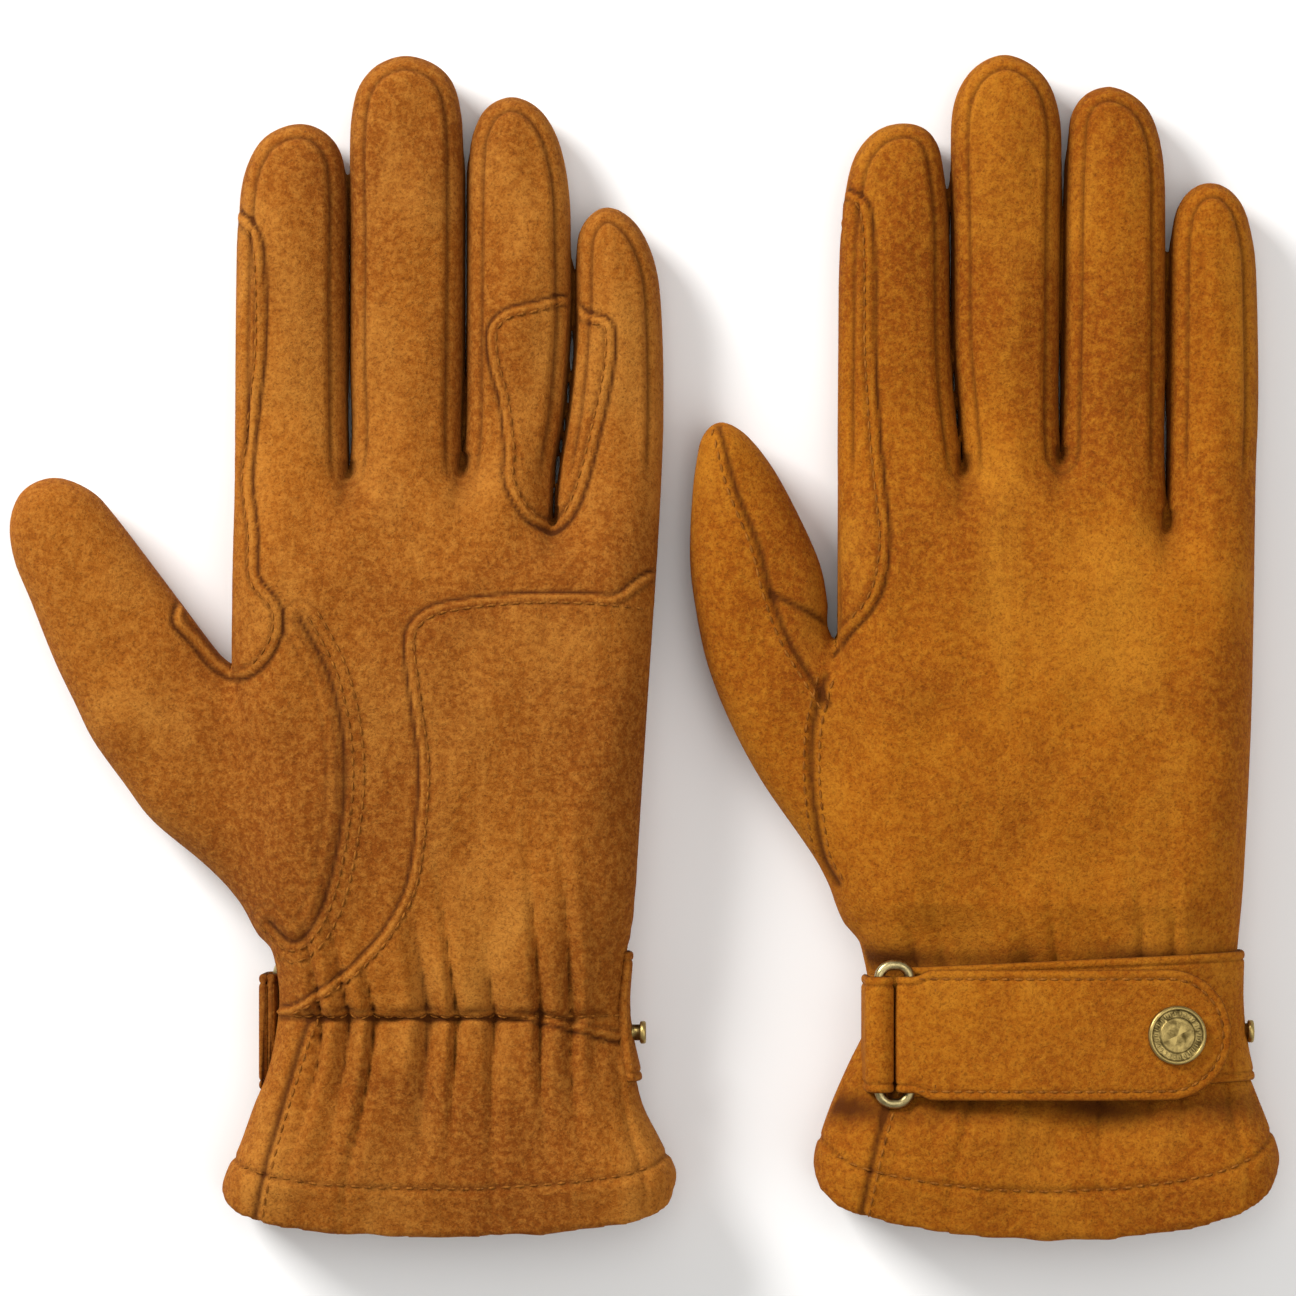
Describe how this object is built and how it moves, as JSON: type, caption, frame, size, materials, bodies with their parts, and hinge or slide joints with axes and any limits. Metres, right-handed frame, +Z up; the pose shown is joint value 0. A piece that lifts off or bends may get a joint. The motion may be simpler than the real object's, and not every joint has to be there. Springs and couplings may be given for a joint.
{
  "type": "leather driving gloves",
  "caption": "Pair of lined suede driving gloves with flared cuffs and a snap-down wrist strap through an oval ring.",
  "frame": {"origin": "middle of the pair's outer box, on the surface that the gloves lie on", "axes": "+X from the left glove to the right one, +Y along the fingers, +Z up; the left glove lies palm up and the right one palm down"},
  "size_m": [0.2674, 0.2476, 0.0301],
  "materials": {
    "suede": "napped tan suede",
    "suede_patch": "napped tan suede with rubbed edges",
    "lining_cloth": "soft knitted lining",
    "elastic": "woven elastic",
    "brass": "antique brass, worn bright on the rim",
    "steel": "worn pale plated wire"
  },
  "bodies": {
    "left_hand": {"left_back_panel": "suede", "left_palm_panel": "suede", "left_heel_patch": "suede_patch", "left_side_panel": "suede_patch", "left_lining": "lining_cloth", "left_wrist_elastic": "elastic", "left_hem_band": "suede", "left_thumb_base": "suede", "left_strap_base": "suede_patch", "left_ring_loop": "suede_patch", "left_strap_studs": "brass"},
    "left_index": {"left_index_back": "suede", "left_index_palm": "suede", "left_index_sides": "suede"},
    "left_middle": {"left_middle_back": "suede", "left_middle_palm": "suede", "left_middle_sides": "suede"},
    "left_ring_finger": {"left_ring_back": "suede", "left_ring_palm": "suede", "left_ring_sides": "suede"},
    "left_little": {"left_little_back": "suede", "left_little_palm": "suede", "left_little_sides": "suede"},
    "left_thumb": {"left_thumb_tip": "suede"},
    "left_ring": {"left_strap_ring": "steel"},
    "left_tab": {"left_strap_tab": "suede_patch", "left_snap_cap": "brass", "left_snap_socket": "brass"},
    "right_hand": {"right_back_panel": "suede", "right_palm_panel": "suede", "right_heel_patch": "suede_patch", "right_side_panel": "suede_patch", "right_lining": "lining_cloth", "right_wrist_elastic": "elastic", "right_hem_band": "suede", "right_thumb_base": "suede", "right_strap_base": "suede_patch", "right_ring_loop": "suede_patch", "right_strap_studs": "brass"},
    "right_index": {"right_index_back": "suede", "right_index_palm": "suede", "right_index_sides": "suede"},
    "right_middle": {"right_middle_back": "suede", "right_middle_palm": "suede", "right_middle_sides": "suede"},
    "right_ring_finger": {"right_ring_back": "suede", "right_ring_palm": "suede", "right_ring_sides": "suede"},
    "right_little": {"right_little_back": "suede", "right_little_palm": "suede", "right_little_sides": "suede"},
    "right_thumb": {"right_thumb_tip": "suede"},
    "right_ring": {"right_strap_ring": "steel"},
    "right_tab": {"right_strap_tab": "suede_patch", "right_snap_cap": "brass", "right_snap_socket": "brass"}
  },
  "joints": [
    {"name": "right_glove_lift", "type": "slide", "parent": "left_hand", "child": "right_hand", "axis": [0, 0, 1], "range_m": [0, 0.1]},
    {"name": "left_index_flex", "type": "hinge", "parent": "left_hand", "child": "left_index", "pos_m": [-0.0772, 0.03675, 0.00925], "axis": [1, 0, 0], "range_deg": [0, 60]},
    {"name": "left_middle_flex", "type": "hinge", "parent": "left_hand", "child": "left_middle", "pos_m": [-0.05235, 0.03675, 0.00925], "axis": [1, 0, 0], "range_deg": [0, 60]},
    {"name": "left_ring_finger_flex", "type": "hinge", "parent": "left_hand", "child": "left_ring_finger", "pos_m": [-0.03042, 0.03675, 0.00925], "axis": [1, 0, 0], "range_deg": [0, 60]},
    {"name": "left_little_flex", "type": "hinge", "parent": "left_hand", "child": "left_little", "pos_m": [-0.00931, 0.03675, 0.00925], "axis": [1, 0, 0], "range_deg": [0, 60]},
    {"name": "left_thumb_flex", "type": "hinge", "parent": "left_hand", "child": "left_thumb", "pos_m": [-0.1107, 0.002, 0.0097], "axis": [0.8704, 0.4924, 0], "range_deg": [0, 40]},
    {"name": "left_ring_swing", "type": "hinge", "parent": "left_hand", "child": "left_ring", "pos_m": [-0.07885, -0.08125, 0.00523], "axis": [0, 1, 0], "range_deg": [0, 80]},
    {"name": "left_tab_open", "type": "hinge", "parent": "left_ring", "child": "left_tab", "pos_m": [-0.0724, -0.08125, 0.00523], "axis": [0, 1, 0], "range_deg": [0, 85]},
    {"name": "right_index_flex", "type": "hinge", "parent": "right_hand", "child": "right_index", "pos_m": [0.0503, 0.03675, 0.00925], "axis": [-1, 0, 0], "range_deg": [0, 60]},
    {"name": "right_middle_flex", "type": "hinge", "parent": "right_hand", "child": "right_middle", "pos_m": [0.07515, 0.03675, 0.00925], "axis": [-1, 0, 0], "range_deg": [0, 60]},
    {"name": "right_ring_finger_flex", "type": "hinge", "parent": "right_hand", "child": "right_ring_finger", "pos_m": [0.09708, 0.03675, 0.00925], "axis": [-1, 0, 0], "range_deg": [0, 60]},
    {"name": "right_little_flex", "type": "hinge", "parent": "right_hand", "child": "right_little", "pos_m": [0.11819, 0.03675, 0.00925], "axis": [-1, 0, 0], "range_deg": [0, 60]},
    {"name": "right_thumb_flex", "type": "hinge", "parent": "right_hand", "child": "right_thumb", "pos_m": [0.0218, 0.01135, 0.0097], "axis": [-0.9659, -0.2588, 0], "range_deg": [0, 40]},
    {"name": "right_ring_swing", "type": "hinge", "parent": "right_hand", "child": "right_ring", "pos_m": [0.04865, -0.08125, 0.02377], "axis": [0, -1, 0], "range_deg": [0, 80]},
    {"name": "right_tab_open", "type": "hinge", "parent": "right_ring", "child": "right_tab", "pos_m": [0.0551, -0.08125, 0.02377], "axis": [0, -1, 0], "range_deg": [0, 85]}
  ]
}
